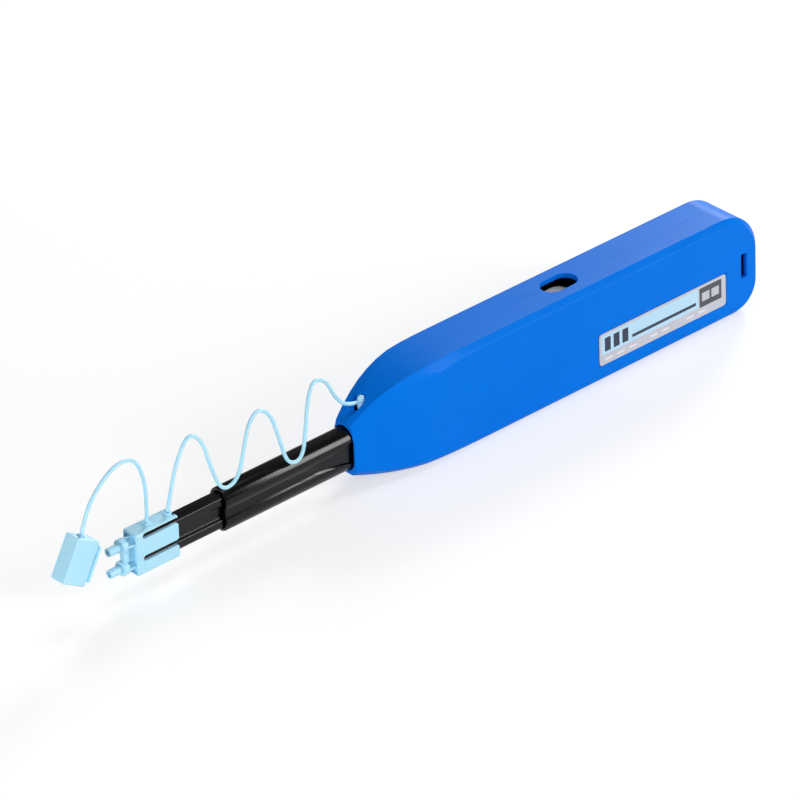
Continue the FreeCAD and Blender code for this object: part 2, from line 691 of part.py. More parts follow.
def rack_blank():
    """Rack along X with a tooth centred on x = 0 and its pitch line at z = 0."""
    pitch = math.pi * size.gear_module
    slope = math.tan(math.radians(size.pressure_angle))
    half = (pitch - size.gear_backlash) / 4
    top, root = size.gear_addendum, -size.gear_dedendum
    lead = int(size.rack_lead)
    base = size.wall + size.fit_gap - (size.pinion_height - size.gear_module * size.pinion_teeth / 2)
    points = [FreeCAD.Vector(-(lead + 0.5) * pitch, 0, base), FreeCAD.Vector(-(lead + 0.5) * pitch, 0, root)]
    for tooth in range(-lead, int(size.rack_teeth) - lead):
        middle = tooth * pitch
        points += [FreeCAD.Vector(middle + side * (half - slope * z), 0, z)
                   for side, z in ((-1, root), (-1, top), (1, top), (1, root))]
    end = (size.rack_teeth - lead - 0.5) * pitch
    points += [FreeCAD.Vector(end, 0, root), FreeCAD.Vector(end, 0, base)]
    return Part.Face(polygon(points)).extrude(FreeCAD.Vector(0, size.gear_width, 0))


def make_gears():
    """Pinion with a gap over the rack's tooth, and a take-up reel whose gear receives its tooth."""
    pinion_step = 2 * math.pi / size.pinion_teeth
    pinion_turn = -math.pi / 2 + pinion_step / 2
    rise = size.take_up_height - size.pinion_height
    centres = math.asin(rise / (size.gear_module * (size.pinion_teeth + size.take_up_teeth) / 2))
    offset = (centres - pinion_turn) % pinion_step
    gap = centres + math.pi + offset * size.pinion_teeth / size.take_up_teeth
    gear_turn = gap + math.pi / size.take_up_teeth
    pinion = shaped("pinion_blank", gear_blank(size.pinion_teeth, pinion_turn), "pinion_place", GEAR_Y,
                    "pinion_height")
    pinion_bore = rod("pinion_bore", "y", "pinion_axle_radius + fit_gap", "housing_width", "pinion_place",
                      "-housing_width / 2", "pinion_height")
    node(cut("pinion_cut", pinion, pinion_bore), "drive_pinion")
    gear = shaped("take_up_gear", gear_blank(size.take_up_teeth, gear_turn), TAKE_UP_X, GEAR_Y,
                  "take_up_height")
    make_reel("take_up", TAKE_UP_REEL_RADIUS, f"{TAKE_UP_REEL_RADIUS} * take_up_fill", TAKE_UP_X,
              "take_up_height", gear)
    rack = shaped("rack_form", rack_blank(), "pinion_place", GEAR_Y, RACK_LINE)
    node(rack, "feed_rack")


make_reel("supply", SUPPLY_RADIUS, f"{SUPPLY_RADIUS} - full_tape_inset", SUPPLY_X, SUPPLY_Z)
make_gears()

# ---------------------------------------------------------------- cleaning shafts

def twisted_blade(length, rate):
    """Flat blade along +X, twisted by rate (radians per millimetre) and upright in the cam plate."""
    half_width, half_height = size.blade_thickness / 2, size.blade_width / 2
    steps = int(size.blade_steps)
    sections = []
    for step in range(steps + 1):
        x = -length + length * step / steps
        turn = FreeCAD.Rotation(FreeCAD.Vector(1, 0, 0),
                                math.degrees(rate * (x + size.rest_gap + size.cam_thickness / 2)))
        sections.append([turn.multVec(FreeCAD.Vector(0, y, z)) + FreeCAD.Vector(x, 0, 0)
                         for y, z in ((-half_width, -half_height), (half_width, -half_height),
                                      (half_width, half_height), (-half_width, half_height))])
    faces = [Part.Face(polygon(sections[0])), Part.Face(polygon(sections[-1]))]
    for first, second in zip(sections, sections[1:]):
        for side in range(4):
            a, b, c, d = first[side], first[side - 3], second[side - 3], second[side]
            faces += [Part.Face(polygon([a, b, c])), Part.Face(polygon([a, c, d]))]
    return Part.makeSolid(Part.makeShell(faces))


def make_shafts():
    blade_end = "(carriage_front - slide_gap / 2)"
    blade_length = size.travel + size.cam_thickness + 3 * size.rest_gap
    rate = math.radians(size.blade_turn) / size.travel
    tip_end = f"{ADAPTER_FRONT} - tube_reach + ferrule_depth + rest_gap"
    for name, z in zip(("upper", "lower"), AXES):
        stem = rod(f"{name}_stem", "x", "shaft_diameter / 2",
                   f"carriage_front - {blade_length - size.rest_gap} - {SHAFT_FRONT}", SHAFT_FRONT, "0", z)
        blade = shaped(f"{name}_blade", twisted_blade(blade_length, rate), blade_end, 0, z)
        journal = rod(f"{name}_journal", "x", "shaft_diameter / 2", "carriage_wall + slide_gap / 2",
                      blade_end, "0", z)
        node(fuse(f"{name}_shaft_body", stem, blade, journal), f"{name}_shaft")
        node(rod(f"{name}_tip_rod", "x", "tip_diameter / 2", f"{SHAFT_FRONT} - ({tip_end})", tip_end,
                 "0", z), f"{name}_tip")


def make_cam_plate():
    plate = block("cam_blank", "cam_thickness", "housing_width - 2 * wall + 2 * seat_groove - 2 * fit_gap",
                  "cam_height", CAM_FRONT, "axis_height")
    keys = [block(f"blade_key_{number}", "3 * cam_thickness", "blade_thickness + 2 * cam_clearance",
                  "blade_width + 2 * cam_clearance", f"{CAM_FRONT} - cam_thickness", z)
            for number, z in enumerate(AXES)]
    node(cut("cam_cut", plate, *keys), "cam_plate")


make_shafts()
make_cam_plate()

# ---------------------------------------------------------------- return spring

def make_spring():
    plate = block("seat_plate", "seat_thickness",
                  "housing_width - 2 * wall + 2 * seat_groove - 2 * fit_gap", "seat_height", SEAT_FRONT,
                  "spring_height")
    post = rod("seat_post", "x", "guide_radius", "guide_length", f"{SEAT_FRONT} - guide_length", "0",
               "spring_height")
    node(fuse("seat_body", plate, post), "spring_guide")

    room = size.rear_reach - size.slot_from_rear - size.slot_length / 2 - size.seat_to_hook
    room -= size.seat_thickness + size.carriage_front + size.carriage_length
    length = room - size.spring_wire - 3 * size.fit_gap
    steps = int(size.spring_turns * size.spring_steps)
    turn = 2 * math.pi / size.spring_steps
    points = [FreeCAD.Vector(length * step / steps, size.spring_radius * math.cos(turn * step),
                             size.spring_radius * math.sin(turn * step)) for step in range(steps + 1)]
    half = size.spring_wire / 2
    section = polygon([points[0] + FreeCAD.Vector(x, y, 0)
                       for x, y in ((-half, -half), (half, -half), (half, half), (-half, half))])
    coil = Part.makePolygon(points).makePipeShell([section], True, False, 1)
    node(shaped("spring_coil", coil, f"{CARRIAGE_REAR} + spring_wire / 2 + fit_gap", 0, "spring_height"),
         "return_spring")


make_spring()

# ---------------------------------------------------------------- tethers

def cord(points, diameter):
    """Four-sided strap of straight runs; the widest arc that fits each corner is cut into short runs."""
    points = [FreeCAD.Vector(*point) for point in points]
    line, radii = [points[0]], []
    for before, corner, after in zip(points, points[1:], points[2:]):
        back, ahead = before - corner, after - corner
        shorter = min(back.Length, ahead.Length)
        back.normalize()
        ahead.normalize()
        half_turn = (math.pi - back.getAngle(ahead)) / 2
        reach = size.bend_share * shorter
        radius = reach / math.tan(half_turn)
        middle = (back + ahead).normalize()
        arc_middle = corner + middle * (radius / math.cos(half_turn) - radius)
        first, last = corner + back * reach, corner + ahead * reach
        runs = math.ceil(2 * half_turn / math.radians(size.bend_step))
        line += Part.Arc(first, arc_middle, last).discretize(runs + 1)
        radii.append(round(radius, 1))
    path = Part.makePolygon([*line, points[-1]])
    corner = FreeCAD.Vector(0, diameter / 2, 0)
    run = (points[1] - points[0]).normalize()
    section = polygon([points[0] + FreeCAD.Rotation(run, 45 + 90 * number).multVec(corner)
                       for number in range(4)])
    solid = path.makePipeShell([section], True, False, 1)
    print("cord length", round(path.Length, 1), "volume ratio",
          round(solid.Volume / (math.pi * diameter ** 2 / 4 * path.Length), 4), "radii", radii)
    return solid


TETHER_ROUTE = [
    (-62.45, 0.0, 22.9), (-66.2, 0.0, 23.4), (-69.8, 0.0, 27.3), (-72.6, 0.0, 33.6), (-77.0, -0.3, 35.6),
    (-80.0, -1.3, 31.2), (-82.4, -3.0, 24.6), (-85.0, -4.4, 17.9), (-90.0, -4.5, 18.3),
    (-91.5, -3.4, 26.5), (-92.9, -2.2, 33.4), (-96.6, -1.7, 36.2), (-100.4, -2.2, 33.0),
    (-103.2, -3.4, 26.6), (-106.2, -4.4, 20.9), (-111.6, -4.6, 20.0), (-113.6, -3.2, 27.4),
    (-114.4, -1.5, 34.6), (-118.0, -0.7, 37.8), (-121.2, -0.3, 32.6), (-123.4, 0.0, 26.0),
    (-125.35, 0.0, 18.4),
]
CAP_TETHER_ROUTE = [
    (-132.05, 0.0, 18.3), (-131.7, 0.0, 25.0), (-132.5, -0.3, 31.8), (-135.7, -0.9, 38.5),
    (-142.2, -1.8, 39.8), (-148.75, -2.7, 36.5), (-153.3, -3.3, 31.8), (-155.25, -3.5, 26.5),
]


def make_tethers():
    node(shaped("tether_cord", cord(TETHER_ROUTE, size.tether_diameter)), "tether")
    node(shaped("cap_tether_cord", cord(CAP_TETHER_ROUTE, size.tether_diameter)), "cap_tether")

    head = rod("anchor_head", "z", "anchor_diameter / 2", "anchor_diameter", ANCHOR_X, "0",
               f"{ANCHOR_Z} - anchor_diameter / 2")
    stem = rod("anchor_stem", "z", "anchor_hole / 2 - fit_gap", "wall + anchor_diameter",
               ANCHOR_X, "0", f"{ANCHOR_Z} - wall - anchor_diameter")
    node(fuse("anchor_body", head, stem), "tether_anchor")


make_tethers()

# ---------------------------------------------------------------- finish

doc.recompute()
for part in doc.Objects:
    if {"Invalid", "Error"} & set(part.State):
        raise RuntimeError(f"{part.Name} failed: {part.State}")
for part in NODES:
    if part.Shape.isNull() or not part.Shape.isValid():
        raise RuntimeError(f"{part.Label} has no valid shape")

os.makedirs("parts", exist_ok=True)
for part in NODES:
    part.Shape.exportStep(f"parts/{part.Label}.step")
    print(part.Label, len(part.Shape.Solids), round(part.Shape.Volume, 2),
          [round(v, 2) for v in (part.Shape.BoundBox.XMin, part.Shape.BoundBox.XMax,
                                 part.Shape.BoundBox.YMin, part.Shape.BoundBox.YMax,
                                 part.Shape.BoundBox.ZMin, part.Shape.BoundBox.ZMax)])
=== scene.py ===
import json
import math

import bmesh
import bpy
from mathutils import Matrix, Vector


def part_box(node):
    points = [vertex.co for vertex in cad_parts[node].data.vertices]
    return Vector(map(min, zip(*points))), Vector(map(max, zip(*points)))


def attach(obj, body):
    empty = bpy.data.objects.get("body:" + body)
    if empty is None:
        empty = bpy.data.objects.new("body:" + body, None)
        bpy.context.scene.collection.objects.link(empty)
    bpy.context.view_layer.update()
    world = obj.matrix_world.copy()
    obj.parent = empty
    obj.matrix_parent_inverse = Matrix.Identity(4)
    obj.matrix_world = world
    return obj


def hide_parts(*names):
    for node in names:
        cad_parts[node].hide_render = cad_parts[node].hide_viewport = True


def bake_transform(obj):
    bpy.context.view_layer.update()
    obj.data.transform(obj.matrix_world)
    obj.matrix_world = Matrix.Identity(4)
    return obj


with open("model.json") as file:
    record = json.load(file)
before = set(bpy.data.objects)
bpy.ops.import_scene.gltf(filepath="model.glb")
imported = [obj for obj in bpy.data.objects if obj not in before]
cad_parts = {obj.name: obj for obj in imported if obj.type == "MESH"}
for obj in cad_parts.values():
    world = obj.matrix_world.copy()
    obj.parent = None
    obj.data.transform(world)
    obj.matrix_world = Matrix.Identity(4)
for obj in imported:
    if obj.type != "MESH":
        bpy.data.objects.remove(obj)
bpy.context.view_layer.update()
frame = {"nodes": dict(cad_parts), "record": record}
nodes = frame["nodes"]

MM = 0.001

# ------------------------------------------------------------------ camera

VIEW_AZIMUTH = math.radians(-41.02)
VIEW_ELEVATION = math.radians(30.60)
VIEW_ROLL = math.radians(-2.24)
VIEW_DISTANCE = 1805 * MM
VIEW_AIM = Vector((-48.4, 0.0, 17.6)) * MM
VIEW_LENS = 323.0


def make_camera():
    """A long lens from the front left, a little over the tool, rolled slightly."""
    back = Vector((math.sin(VIEW_AZIMUTH) * math.cos(VIEW_ELEVATION),
                   -math.cos(VIEW_AZIMUTH) * math.cos(VIEW_ELEVATION),
                   math.sin(VIEW_ELEVATION)))
    level = Vector((math.cos(VIEW_AZIMUTH), math.sin(VIEW_AZIMUTH), 0.0))
    right = level * math.cos(VIEW_ROLL) + back.cross(level) * math.sin(VIEW_ROLL)
    turn = Matrix((right, back.cross(right), back)).transposed()
    data = bpy.data.cameras.new("camera")
    data.lens = VIEW_LENS
    data.sensor_width = 36.0
    data.clip_end = 20.0
    camera = bpy.data.objects.new("camera", data)
    camera.matrix_world = Matrix.Translation(VIEW_AIM + back * VIEW_DISTANCE) @ turn.to_4x4()
    bpy.context.scene.collection.objects.link(camera)
    bpy.context.scene.camera = camera


make_camera()

# ------------------------------------------------------------------ tethers

TETHER_WIDTH = 1.0 * MM
# Points that steer each strap's curve, in millimetres
TETHER_ROUTE = [
    (-62.45, 0.0, 22.9), (-66.2, 0.0, 23.4), (-69.8, 0.0, 27.3), (-72.6, 0.0, 33.6),
    (-77.0, -0.3, 35.6),
    (-80.0, -1.3, 31.2), (-82.4, -3.0, 24.6), (-85.0, -4.4, 17.9), (-90.0, -4.5, 18.3),
    (-91.5, -3.4, 26.5), (-92.9, -2.2, 33.4), (-96.6, -1.7, 36.2), (-100.4, -2.2, 33.0),
    (-103.2, -3.4, 26.6), (-106.2, -4.4, 20.9), (-111.6, -4.6, 20.0), (-113.6, -3.2, 27.4),
    (-114.4, -1.5, 34.6), (-118.0, -0.7, 37.8), (-121.2, -0.3, 32.6), (-123.4, 0.0, 26.0),
    (-125.35, 0.0, 18.4),
]
CAP_TETHER_ROUTE = [
    (-132.05, 0.0, 18.3), (-131.7, 0.0, 25.0), (-132.5, -0.3, 31.8), (-135.7, -0.9, 38.5),
    (-142.2, -1.8, 39.8), (-148.75, -2.7, 36.5), (-153.3, -3.3, 31.8), (-155.25, -3.5, 26.5),
]


def strap(name, route):
    """Round moulded strap on a smooth curve; returns it with the points of its centreline."""
    data = bpy.data.curves.new(name + "_line", "CURVE")
    data.dimensions = "3D"
    data.resolution_u = 12
    spline = data.splines.new("NURBS")
    spline.points.add(len(route) - 1)
    for point, place in zip(spline.points, route):
        point.co = (*(Vector(place) * MM), 1.0)
    spline.order_u = 3
    spline.use_endpoint_u = True
    line = bpy.data.objects.new(name + "_line", data)
    bpy.context.scene.collection.objects.link(line)
    centre = bpy.data.meshes.new_from_object(line)
    path = [vertex.co.copy() for vertex in centre.vertices]
    data.bevel_depth = TETHER_WIDTH / 2
    data.bevel_resolution = 3
    data.use_fill_caps = True
    mesh = bpy.data.meshes.new_from_object(line)
    bpy.data.objects.remove(line)
    piece = bpy.data.objects.new(name, mesh)
    bpy.context.scene.collection.objects.link(piece)
    mesh.materials.clear()
    mesh.polygons.foreach_set("use_smooth", [True] * len(mesh.polygons))
    return piece, path


def make_tethers():
    """Strap from the housing's post to the adapter, and a shorter one that holds the cap."""
    tether, path = strap("tether_strap", TETHER_ROUTE)
    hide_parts("tether")
    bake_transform(tether)
    leash, path = strap("cap_tether_strap", CAP_TETHER_ROUTE)
    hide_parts("cap_tether")
    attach(leash, "nose")
    return tether, leash


STRAPS = make_tethers()

# ------------------------------------------------------------------ material helpers

def linear(code):
    """An sRGB hex colour as linear RGBA."""
    parts = [int(code[i:i + 2], 16) / 255 for i in (1, 3, 5)]
    return [p / 12.92 if p <= 0.04045 else ((p + 0.055) / 1.055) ** 2.4 for p in parts] + [1.0]


def add(tree, kind, settings=None, inputs=None, links=None):
    """Adds a node with its settings, socket values and links from other nodes' outputs."""
    node = tree.nodes.new("ShaderNode" + kind)
    for name, value in (settings or {}).items():
        setattr(node, name, value)
    for name, value in (inputs or {}).items():
        node.inputs[name].default_value = value
    for name, output in (links or {}).items():
        tree.links.new(output, node.inputs[name])
    return node


def new_material(name, **inputs):
    """A Principled material; returns it with its tree, shader and Object coordinates."""
    material = bpy.data.materials.new(name)
    material.use_nodes = True
    tree = material.node_tree
    shader = tree.nodes["Principled BSDF"]
    for socket, value in inputs.items():
        shader.inputs[socket.replace("_", " ")].default_value = value
    place = add(tree, "TexCoord").outputs["Object"]
    return material, tree, shader, place


def grain(tree, shader, place, spacing, depth, strength):
    """Fine moulded texture: bumps of that spacing and depth, both in millimetres."""
    noise = add(tree, "TexNoise", inputs={"Scale": 1 / (spacing * MM), "Detail": 3.0},
                links={"Vector": place})
    bump = add(tree, "Bump", inputs={"Strength": strength, "Distance": depth * MM},
               links={"Height": noise.outputs["Fac"]})
    tree.links.new(bump.outputs["Normal"], shader.inputs["Normal"])


def mottle(tree, place, spacing, low, high):
    """A slow change between two values over that spacing in millimetres, as handling leaves."""
    noise = add(tree, "TexNoise", inputs={"Scale": 1 / (spacing * MM), "Detail": 4.0},
                links={"Vector": place})
    return add(tree, "MapRange", links={"Value": noise.outputs["Fac"]},
               inputs={"From Min": 0.3, "From Max": 0.7, "To Min": low, "To Max": high}
               ).outputs["Result"]


def two_tone(tree, place, spacing, first, second):
    """Colour that drifts between two shades over that spacing in millimetres."""
    factor = mottle(tree, place, spacing, 0.0, 1.0)
    mix = add(tree, "Mix", {"data_type": "RGBA"}, links={0: factor})
    mix.inputs[6].default_value = linear(first)
    mix.inputs[7].default_value = linear(second)
    return mix.outputs[2]


# ------------------------------------------------------------------ materials

def moulded_abs_blue():
    """Blue ABS from a fine-blasted mould: even colour with a broad, soft sheen."""
    material, tree, shader, place = new_material("moulded_abs_blue", IOR=1.54,
                                                 Specular_IOR_Level=0.05)
    tree.links.new(two_tone(tree, place, 18, "#0074E4", "#0078E8"), shader.inputs["Base Color"])
    tree.links.new(mottle(tree, place, 12, 0.38, 0.42), shader.inputs["Roughness"])
    grain(tree, shader, place, 0.5, 0.003, 0.1)
    return material


def moulded_abs_black():
    """Black ABS from a polished mould: long soft streaks of light over a deep black."""
    material, tree, shader, place = new_material("moulded_abs_black", IOR=1.54,
                                                 Specular_IOR_Level=0.25)
    tree.links.new(two_tone(tree, place, 9, "#050506", "#08080A"), shader.inputs["Base Color"])
    tree.links.new(mottle(tree, place, 8, 0.18, 0.21), shader.inputs["Roughness"])
    grain(tree, shader, place, 0.6, 0.002, 0.1)
    return material


def moulded_polypropylene(name, first, second):
    """Light-blue polypropylene: waxy, a little light passes under its skin."""
    material, tree, shader, place = new_material(name, IOR=1.49, Subsurface_Weight=0.15,
                                                 Subsurface_Scale=0.5 * MM)
    shader.inputs["Subsurface Radius"].default_value = (0.4, 0.8, 1.0)
    tree.links.new(two_tone(tree, place, 5, first, second), shader.inputs["Base Color"])
    tree.links.new(mottle(tree, place, 2, 0.38, 0.46), shader.inputs["Roughness"])
    grain(tree, shader, place, 0.35, 0.01, 0.12)
    return material


def plain_plastic(name, first, second, low, high):
    """Inner mouldings with a satin face."""
    material, tree, shader, place = new_material(name, IOR=1.48)
    tree.links.new(two_tone(tree, place, 4, first, second), shader.inputs["Base Color"])
    tree.links.new(mottle(tree, place, 2, low, high), shader.inputs["Roughness"])
    grain(tree, shader, place, 0.3, 0.01, 0.15)
    return material


def wound_tape():
    """White micro-fibre tape on its spool: matt, with faint bands round its rim."""
    material, tree, shader, place = new_material("wound_tape", Roughness=0.75)
    bands = add(tree, "TexWave", {"bands_direction": "Y"},
                {"Scale": 1 / (1.1 * MM), "Distortion": 1.0, "Detail": 2.0},
                {"Vector": place}).outputs["Fac"]
    mix = add(tree, "Mix", {"data_type": "RGBA"}, links={0: bands})
    mix.inputs[6].default_value = linear("#E9E7E2")
    mix.inputs[7].default_value = linear("#FAF9F6")
    tree.links.new(mix.outputs[2], shader.inputs["Base Color"])
    bump = add(tree, "Bump", inputs={"Strength": 0.3, "Distance": 0.03 * MM},
               links={"Height": bands})
    tree.links.new(bump.outputs["Normal"], shader.inputs["Normal"])
    return material


def drawn_steel(name, roughness):
    """Drawn or ground steel: fine lines round or along it blur its reflections."""
    material, tree, shader, place = new_material(name, Metallic=1.0)
    stretch = add(tree, "Mapping", links={"Vector": place})
    stretch.inputs["Scale"].default_value = (0.1, 1.0, 1.0)
    lines = add(tree, "TexNoise", inputs={"Scale": 1 / (0.15 * MM), "Detail": 4.0},
                links={"Vector": stretch.outputs["Vector"]})
    shade = add(tree, "MapRange", inputs={"To Min": roughness - 0.06, "To Max": roughness + 0.06},
                links={"Value": lines.outputs["Fac"]})
    tree.links.new(shade.outputs["Result"], shader.inputs["Roughness"])
    shader.inputs["Base Color"].default_value = linear("#C4C5C8")
    return material


def inside(tree, place, low, high):
    """1 inside the rectangle from low to high, both as (x, z) in metres, else 0."""
    axes = add(tree, "SeparateXYZ", links={"Vector": place})
    tests = []
    for axis, start, end in zip("XZ", low, high):
        for operation, edge in (("GREATER_THAN", start), ("LESS_THAN", end)):
            tests.append(add(tree, "Math", {"operation": operation}, {1: edge},
                             {0: axes.outputs[axis]}).outputs[0])
    result = tests[0]
    for test in tests[1:]:
        result = add(tree, "Math", {"operation": "MULTIPLY"}, links={0: result, 1: test}).outputs[0]
    return result


SILVER, SILVER_LIGHT = "#C3C5CE", "#CDCFD6"
PALE_FIELD, DARK_BLOCK, BLOCK_WINDOW, BAR_INK, DASH_INK = (
    "#BCE2F7", "#46464E", "#C6C8D0", "#1B2A44", "#E4E5EA")
BAR_STARTS = (1.9, 5.0, 8.1)
DASH_STARTS = (2.0, 6.2, 10.4, 18.0, 22.2, 31.0, 35.2)


def printed_label():
    """Silver polyester label: a satin ground with a pale field, dark bars and a dark block."""
    material, tree, shader, place = new_material("printed_label", IOR=1.5)
    low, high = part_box("label")

    def patch(code, left, bottom, right, top):
        """A rectangle of one colour, in millimetres from the label's lower left corner."""
        return (code, (low.x + left * MM, low.z + bottom * MM),
                (low.x + right * MM, low.z + top * MM))

    length = (high.x - low.x) / MM
    fields = [
        patch(PALE_FIELD, 0.9, 2.9, length - 9.9, 8.5),
        patch(DARK_BLOCK, length - 9.5, 2.7, length - 1.6, 8.4),
        patch(BLOCK_WINDOW, length - 8.6, 4.3, length - 5.9, 6.8),
        patch(BLOCK_WINDOW, length - 5.2, 4.3, length - 2.5, 6.8),
        patch(BAR_INK, 11.6, 4.0, 34.4, 4.9),
    ]
    fields += [patch(BAR_INK, start, 3.7, start + 2.1, 7.7) for start in BAR_STARTS]
    fields += [patch(DASH_INK, start, 1.1, start + 2.6, 1.8) for start in DASH_STARTS]
    colour = two_tone(tree, place, 7, SILVER, SILVER_LIGHT)
    for code, start, end in fields:
        mix = add(tree, "Mix", {"data_type": "RGBA"},
                  links={0: inside(tree, place, start, end), 6: colour})
        mix.inputs[7].default_value = linear(code)
        colour = mix.outputs[2]
    tree.links.new(colour, shader.inputs["Base Color"])
    tree.links.new(mottle(tree, place, 3, 0.30, 0.38), shader.inputs["Roughness"])
    return material


FINISHES = {
    "light_blue": moulded_polypropylene("moulded_polypropylene", "#AFE5FE", "#B7E9FF"),
    "blue_shell": moulded_abs_blue(),
    "black_abs": moulded_abs_black(),
    "acetal": plain_plastic("moulded_acetal", "#D8D8D2", "#E2E2DC", 0.35, 0.45),
    "label_film": printed_label(),
    "white_plastic": wound_tape(),
    "spring_steel": drawn_steel("drawn_spring_wire", 0.32),
}


def finish_nodes():
    """Gives every CAD node and both straps the finish of their slot."""
    for row in frame["record"]["subparts"]:
        mesh = nodes[row["node"]].data
        mesh.materials.clear()
        mesh.materials.append(FINISHES[row["material_slot"]])
    for piece in STRAPS:
        piece.data.materials.append(FINISHES["light_blue"])


finish_nodes()

# ------------------------------------------------------------------ mouldings

def finished(name, bm, slot, body, *replaced, sharp=35):
    """Makes the mesh an object that stands for CAD nodes, and rides the body if one is given."""
    bmesh.ops.recalc_face_normals(bm, faces=bm.faces)
    mesh = bpy.data.meshes.new(name)
    bm.to_mesh(mesh)
    bm.free()
    # Normals kept from the loose triangles no longer fit a joined and bevelled mesh
    if "custom_normal" in mesh.attributes:
        mesh.attributes.remove(mesh.attributes["custom_normal"])
    mesh.polygons.foreach_set("use_smooth", [True] * len(mesh.polygons))
    mesh.update()
    mesh.set_sharp_from_angle(angle=math.radians(sharp))
    mesh.materials.append(FINISHES[slot])
    piece = bpy.data.objects.new(name, mesh)
    bpy.context.scene.collection.objects.link(piece)
    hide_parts(*replaced)
    if body:
        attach(piece, body)
    return piece


JOINING_DISTANCE = 0.002 * MM


def merged(node):
    """A bmesh of a CAD node with its loose triangles joined."""
    bm = bmesh.new()
    bm.from_mesh(nodes[node].data)
    bmesh.ops.remove_doubles(bm, verts=bm.verts, dist=JOINING_DISTANCE)
    return bm


def round_edges(bm, edges, width, segments):
    """Rounds the edges by that width in millimetres."""
    bmesh.ops.bevel(bm, geom=edges, offset=width * MM, affect="EDGES", segments=segments,
                    profile=0.5, material=-1, clamp_overlap=False)


def creases(bm, least, shortest=0.0):
    """Edges that fold by more than that many degrees and are longer than that in millimetres."""
    return [edge for edge in bm.edges if len(edge.link_faces) == 2
            and edge.calc_face_angle() > math.radians(least)
            and edge.calc_length() > shortest * MM]


def soften(node, body, slot, width):
    """A CAD moulding with the small edge radius that its mould leaves."""
    bm = merged(node)
    round_edges(bm, creases(bm, 30), width, 2)
    weigh_normals(finished(node + "_moulding", bm, slot, body, node))


def weigh_normals(piece):
    """Keeps large flat faces flat beside their rounded edges."""
    piece.modifiers.new("face_weights", "WEIGHTED_NORMAL").keep_sharp = True


HOOK_END = -7.0 * MM
HOOK_SHORTER = 1.2 * MM
OFF_THE_JOINT = 0.05 * MM
ON_THE_JOINT = 0.02 * MM
NOSE_RIM = 0.3 * MM
NOSE_BLEND = 9.0 * MM
NOSE_MIDDLE = 3.4 * MM


def make_shell(node):
    """Housing half: rounded edges, a fine parting line and creases that fade at the nose."""
    bm = merged(node)
    # The snap hook ends deeper in its slot than the solid's
    for vert in bm.verts:
        if node == "housing_left" and vert.co.y < HOOK_END:
            vert.co.y += HOOK_SHORTER
    outer = [edge for edge in creases(bm, 30)
             if any(abs(vert.co.y) > OFF_THE_JOINT for vert in edge.verts)]
    round_edges(bm, outer, 0.2, 3)
    joint = [edge for edge in creases(bm, 60)
             if all(abs(vert.co.y) < ON_THE_JOINT for vert in edge.verts)]
    round_edges(bm, joint, 0.04, 1)
    piece = finished(node + "_moulding", bm, "blue_shell", "housing", node)
    front = min(vert.co.x for vert in piece.data.vertices)
    sharp = piece.data.attributes["sharp_edge"].data
    for edge in piece.data.edges:
        ends = [piece.data.vertices[number].co for number in edge.vertices]
        if all(front + NOSE_RIM < end.x < front + NOSE_BLEND
               and end.y * end.y > NOSE_MIDDLE ** 2 for end in ends):
            sharp[edge.index].value = False
    weigh_normals(piece)


# ------------------------------------------------------------------ pieces

LOBE_RADIUS = 3.3
LOBE_OFFSET = 2.8
LOBE_STEPS = 16
GROOVE_DEPTH = 0.5
GROOVE_SHOULDER = 0.3
GROOVE_LEAST = 0.2
AXIS_HEIGHT = 11.8
SLEEVE_FRONT, SLEEVE_REAR = -109.15, -51.0
# Places along the sleeve, how far its section is drawn in there, and its groove's half height
SLEEVE_STATIONS = (
    (SLEEVE_FRONT + 9.0, 0.85, 0.0), (SLEEVE_FRONT + 0.15, 0.85, 0.0), (SLEEVE_FRONT, 0.68, 0.0),
    (SLEEVE_FRONT, 0.32, 0.0), (SLEEVE_FRONT + 0.12, 0.09, 0.0), (SLEEVE_FRONT + 0.45, 0.0, 0.0),
    (-86.0, 0.0, 0.0), (-82.0, 0.0, 1.25), (-78.0, 0.0, 1.5), (-75.0, 0.0, 1.75),
    (-72.5, 0.0, 2.05), (-70.5, 0.0, 2.4), (-69.0, 0.0, 2.8), (-67.8, 0.0, 3.2),
    (SLEEVE_REAR, 0.0, 3.2),
)


def sleeve_ring(x, inset, groove):
    """Two round lobes with a flat-floored groove between them, as a closed ring of points."""
    radius = LOBE_RADIUS - inset
    floor = radius - GROOVE_DEPTH
    lobe_end = -math.acos(floor / radius)
    if groove > LOBE_OFFSET + radius * math.sin(lobe_end):
        lobe_end = math.asin((groove - LOBE_OFFSET) / radius)
    top = math.pi / 2
    angles = [top + (lobe_end - top) * step / LOBE_STEPS for step in range(LOBE_STEPS + 1)]
    quarter = [(radius * math.cos(a), LOBE_OFFSET + radius * math.sin(a)) for a in angles]
    quarter.append((floor, max(quarter[-1][1] - GROOVE_SHOULDER, GROOVE_LEAST)))
    half = quarter + [(y, -z) for y, z in reversed(quarter)]
    ring = half + [(-y, z) for y, z in reversed(half[1:-1])]
    return [Vector((x, y, AXIS_HEIGHT + z)) * MM for y, z in ring]


def swept(rings):
    """A bmesh drawn through rings of points, one extrusion at a time."""
    bm = bmesh.new()
    last = [bm.verts.new(point) for point in rings[0]]
    edges = [bm.edges.new(pair) for pair in zip(last, last[1:] + last[:1])]
    for ring in rings[1:]:
        made = bmesh.ops.extrude_edge_only(bm, edges=edges)["geom"]
        fresh = {item for item in made if isinstance(item, bmesh.types.BMVert)}
        edges = [item for item in made
                 if isinstance(item, bmesh.types.BMEdge) and fresh.issuperset(item.verts)]
        last = [next(edge.other_vert(vert) for edge in vert.link_edges
                     if edge.other_vert(vert) in fresh) for vert in last]
        for vert, point in zip(last, ring):
            vert.co = point
    return bm


